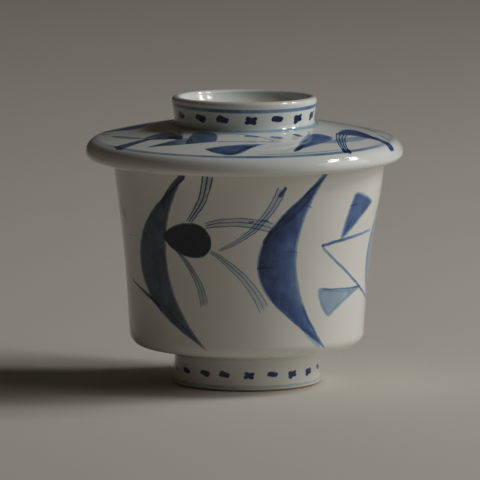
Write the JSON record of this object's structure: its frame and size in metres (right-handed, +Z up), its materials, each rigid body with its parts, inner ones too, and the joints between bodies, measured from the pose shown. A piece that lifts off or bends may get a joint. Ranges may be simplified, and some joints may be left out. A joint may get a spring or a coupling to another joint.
{
  "type": "lidded tea cup",
  "caption": "Hand-painted porcelain tea cup on a foot ring, with a wide lift-off lid that has a rolled edge and a ring grip.",
  "frame": {"origin": "centre of the foot ring's contact face, on the surface the cup stands on", "axes": "+Z up along the cup's axis; the painted front faces -Y, and +X is to the right of someone looking at it"},
  "size_m": [0.096, 0.096, 0.0874],
  "materials": {
    "cup_porcelain": "clear glossy glaze over off-white porcelain, painted in cobalt blue, bare at the foot's edge",
    "lid_porcelain": "clear glossy glaze with a faint blue-green cast, painted in cobalt blue, thin and warm at the grip's lip"
  },
  "bodies": {
    "cup": {"cup": "cup_porcelain"},
    "lid": {"lid": "lid_porcelain"}
  },
  "joints": [
    {"name": "lid_lift", "type": "slide", "parent": "cup", "child": "lid", "axis": [0, 0, 1], "range_m": [0, 0.06]}
  ]
}
